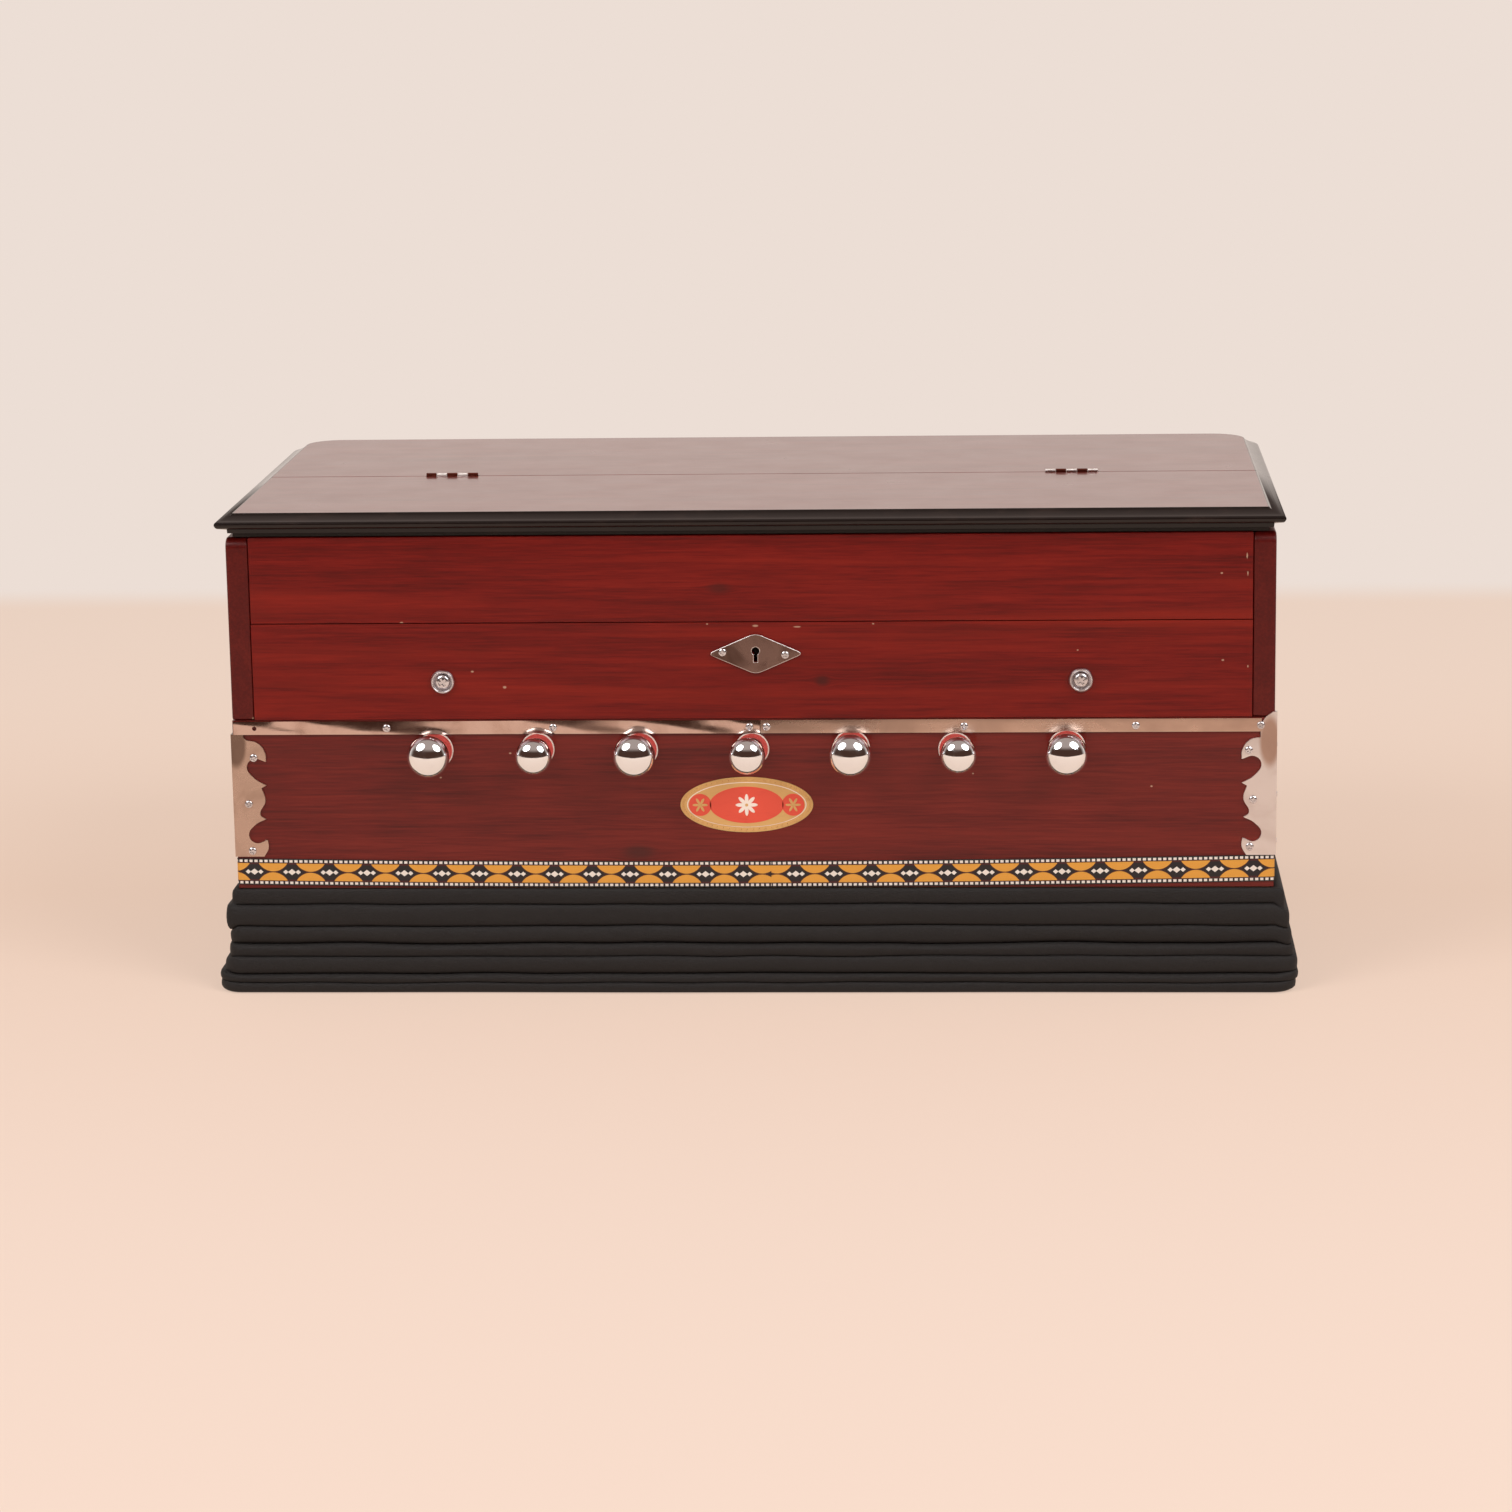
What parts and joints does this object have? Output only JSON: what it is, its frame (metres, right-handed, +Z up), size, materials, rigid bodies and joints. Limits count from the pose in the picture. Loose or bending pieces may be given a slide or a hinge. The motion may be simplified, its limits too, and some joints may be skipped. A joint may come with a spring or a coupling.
{
  "type": "indian harmonium",
  "caption": "Closed hand-pumped harmonium: red wooden cabinet with a hinged moulded lid, ball stop knobs, sprung keys under the lid, folded base wall and hinged rear pump.",
  "frame": {"origin": "on the surface it stands on, at the centre of the base board's underside", "axes": "+X to the player's right along the keyboard, +Y from the player's side to the pump, +Z up"},
  "size_m": [0.638, 0.3755, 0.2892],
  "materials": {
    "red_wood": "stained dark red and varnished, straight grain along the boards",
    "lid_wood": "stained dark red under a glossy varnish, black lacquered moulded edge",
    "pale_wood": "bare planed softwood",
    "leathercloth": "black leathercloth, fine grain, dull sheen",
    "leather": "thin undyed leather",
    "steel": "plain steel",
    "nickel": "bright plated sheet metal with light tarnish",
    "chrome": "polished plated metal",
    "bronze_plate": "dull bronzed plate",
    "brass": "plain brass",
    "white_key": "ivory-coloured celluloid key covering",
    "black_key": "black celluloid key covering",
    "felt": "red wool felt",
    "tape": "woven border tape in black, orange, maroon and white",
    "badge": "pressed gilt plate with a red painted field"
  },
  "bodies": {
    "cabinet": {"base_board": "pale_wood", "base_frame": "pale_wood", "base_folds": "leathercloth", "reservoir_spring_left": "steel", "reservoir_spring_right": "steel", "side_board_left": "red_wood", "side_board_right": "red_wood", "front_board": "red_wood", "cabinet_floor": "pale_wood", "back_board": "red_wood", "lid_rear": "lid_wood", "hinge_left_fixed": "nickel", "hinge_right_fixed": "nickel", "slip_panel": "red_wood", "lock_case": "steel", "escutcheon": "bronze_plate", "panel_stud_left": "nickel", "panel_stud_right": "nickel", "trim_strip_left": "nickel", "trim_strip_right": "nickel", "corner_bracket_left": "nickel", "corner_bracket_right": "nickel", "outer_keys": "white_key", "key_bed": "pale_wood", "reed_board": "pale_wood", "pump_rail": "red_wood", "pump_folds": "leathercloth", "pump_hinge": "leather", "latch_stud_left": "brass", "latch_stud_right": "brass"},
    "lid": {"lid_front": "lid_wood", "apron_panel": "red_wood", "strike_plate": "brass", "hinge_left_moving": "nickel", "hinge_right_moving": "nickel"},
    "bolt": {"lock_bolt": "brass"},
    "reservoir": {"reservoir_board": "pale_wood"},
    "pump": {"pump_board": "red_wood"},
    "flap": {"intake_flap": "leather"},
    "latch_left": {"latch_left": "brass"},
    "latch_right": {"latch_right": "brass"},
    "stop_1": {"stop_1": "chrome"},
    "stop_2": {"stop_2": "chrome"},
    "stop_3": {"stop_3": "chrome"},
    "stop_4": {"stop_4": "chrome"},
    "stop_5": {"stop_5": "chrome"},
    "stop_6": {"stop_6": "chrome"},
    "stop_7": {"stop_7": "chrome"},
    "key_c": {"key_c": "white_key"},
    "key_c_sharp": {"key_c_sharp": "black_key"},
    "key_d": {"key_d": "white_key"},
    "key_d_sharp": {"key_d_sharp": "black_key"},
    "key_e": {"key_e": "white_key"},
    "key_f": {"key_f": "white_key"},
    "key_f_sharp": {"key_f_sharp": "black_key"},
    "key_g": {"key_g": "white_key"},
    "key_g_sharp": {"key_g_sharp": "black_key"},
    "key_a": {"key_a": "white_key"},
    "key_a_sharp": {"key_a_sharp": "black_key"},
    "key_b": {"key_b": "white_key"}
  },
  "joints": [
    {"name": "lid_hinge", "type": "hinge", "parent": "cabinet", "child": "lid", "pos_m": [0, -0.01, 0.2868], "axis": [-1, 0, 0], "range_deg": [0, 180]},
    {"name": "bolt_slide", "type": "slide", "parent": "cabinet", "child": "bolt", "axis": [0, 0, 1], "range_m": [0, 0.006]},
    {"name": "reservoir_slide", "type": "slide", "parent": "cabinet", "child": "reservoir", "axis": [0, 0, -1], "range_m": [0, 0.025], "stiffness_N_per_m": 600, "springref_m": -0.03, "deforming": ["reservoir_spring_left", "reservoir_spring_right"]},
    {"name": "pump_hinge", "type": "hinge", "parent": "cabinet", "child": "pump", "pos_m": [0, 0.184, 0.0618], "axis": [-1, 0, 0], "range_deg": [0, 32], "deforming": ["pump_folds", "pump_hinge"]},
    {"name": "flap_lift", "type": "hinge", "parent": "pump", "child": "flap", "pos_m": [0, 0.183, 0.1908], "axis": [-1, 0, 0], "range_deg": [0, 8]},
    {"name": "latch_left_turn", "type": "hinge", "parent": "pump", "child": "latch_left", "pos_m": [-0.3061, 0.19, 0.2378], "axis": [-1, 0, 0], "range_deg": [0, 90]},
    {"name": "latch_right_turn", "type": "hinge", "parent": "pump", "child": "latch_right", "pos_m": [0.3061, 0.19, 0.2378], "axis": [-1, 0, 0], "range_deg": [0, 90]},
    {"name": "stop_1_pull", "type": "slide", "parent": "cabinet", "child": "stop_1", "axis": [0, -1, 0], "range_m": [0, 0.018]},
    {"name": "stop_2_pull", "type": "slide", "parent": "cabinet", "child": "stop_2", "axis": [0, -1, 0], "range_m": [0, 0.018]},
    {"name": "stop_3_pull", "type": "slide", "parent": "cabinet", "child": "stop_3", "axis": [0, -1, 0], "range_m": [0, 0.018]},
    {"name": "stop_4_pull", "type": "slide", "parent": "cabinet", "child": "stop_4", "axis": [0, -1, 0], "range_m": [0, 0.018]},
    {"name": "stop_5_pull", "type": "slide", "parent": "cabinet", "child": "stop_5", "axis": [0, -1, 0], "range_m": [0, 0.018]},
    {"name": "stop_6_pull", "type": "slide", "parent": "cabinet", "child": "stop_6", "axis": [0, -1, 0], "range_m": [0, 0.018]},
    {"name": "stop_7_pull", "type": "slide", "parent": "cabinet", "child": "stop_7", "axis": [0, -1, 0], "range_m": [0, 0.018]},
    {"name": "key_c_press", "type": "hinge", "parent": "cabinet", "child": "key_c", "pos_m": [-0.108, 0, 0.2143], "axis": [1, 0, 0], "range_deg": [0, 2.5], "stiffness_Nm_per_rad": 0.3, "springref_deg": -20.05},
    {"name": "key_c_sharp_press", "type": "hinge", "parent": "cabinet", "child": "key_c_sharp", "pos_m": [-0.0999, 0, 0.2143], "axis": [1, 0, 0], "range_deg": [0, 2.5], "stiffness_Nm_per_rad": 0.3, "springref_deg": -20.05},
    {"name": "key_d_press", "type": "hinge", "parent": "cabinet", "child": "key_d", "pos_m": [-0.0864, 0, 0.2143], "axis": [1, 0, 0], "range_deg": [0, 2.5], "stiffness_Nm_per_rad": 0.3, "springref_deg": -20.05},
    {"name": "key_d_sharp_press", "type": "hinge", "parent": "cabinet", "child": "key_d_sharp", "pos_m": [-0.0747, 0, 0.2143], "axis": [1, 0, 0], "range_deg": [0, 2.5], "stiffness_Nm_per_rad": 0.3, "springref_deg": -20.05},
    {"name": "key_e_press", "type": "hinge", "parent": "cabinet", "child": "key_e", "pos_m": [-0.0648, 0, 0.2143], "axis": [1, 0, 0], "range_deg": [0, 2.5], "stiffness_Nm_per_rad": 0.3, "springref_deg": -20.05},
    {"name": "key_f_press", "type": "hinge", "parent": "cabinet", "child": "key_f", "pos_m": [-0.0432, 0, 0.2143], "axis": [1, 0, 0], "range_deg": [0, 2.5], "stiffness_Nm_per_rad": 0.3, "springref_deg": -20.05},
    {"name": "key_f_sharp_press", "type": "hinge", "parent": "cabinet", "child": "key_f_sharp", "pos_m": [-0.0369, 0, 0.2143], "axis": [1, 0, 0], "range_deg": [0, 2.5], "stiffness_Nm_per_rad": 0.3, "springref_deg": -20.05},
    {"name": "key_g_press", "type": "hinge", "parent": "cabinet", "child": "key_g", "pos_m": [-0.0216, 0, 0.2143], "axis": [1, 0, 0], "range_deg": [0, 2.5], "stiffness_Nm_per_rad": 0.3, "springref_deg": -20.05},
    {"name": "key_g_sharp_press", "type": "hinge", "parent": "cabinet", "child": "key_g_sharp", "pos_m": [-0.0117, 0, 0.2143], "axis": [1, 0, 0], "range_deg": [0, 2.5], "stiffness_Nm_per_rad": 0.3, "springref_deg": -20.05},
    {"name": "key_a_press", "type": "hinge", "parent": "cabinet", "child": "key_a", "pos_m": [0, 0, 0.2143], "axis": [1, 0, 0], "range_deg": [0, 2.5], "stiffness_Nm_per_rad": 0.3, "springref_deg": -20.05},
    {"name": "key_a_sharp_press", "type": "hinge", "parent": "cabinet", "child": "key_a_sharp", "pos_m": [0.0135, 0, 0.2143], "axis": [1, 0, 0], "range_deg": [0, 2.5], "stiffness_Nm_per_rad": 0.3, "springref_deg": -20.05},
    {"name": "key_b_press", "type": "hinge", "parent": "cabinet", "child": "key_b", "pos_m": [0.0216, 0, 0.2143], "axis": [1, 0, 0], "range_deg": [0, 2.5], "stiffness_Nm_per_rad": 0.3, "springref_deg": -20.05}
  ]
}
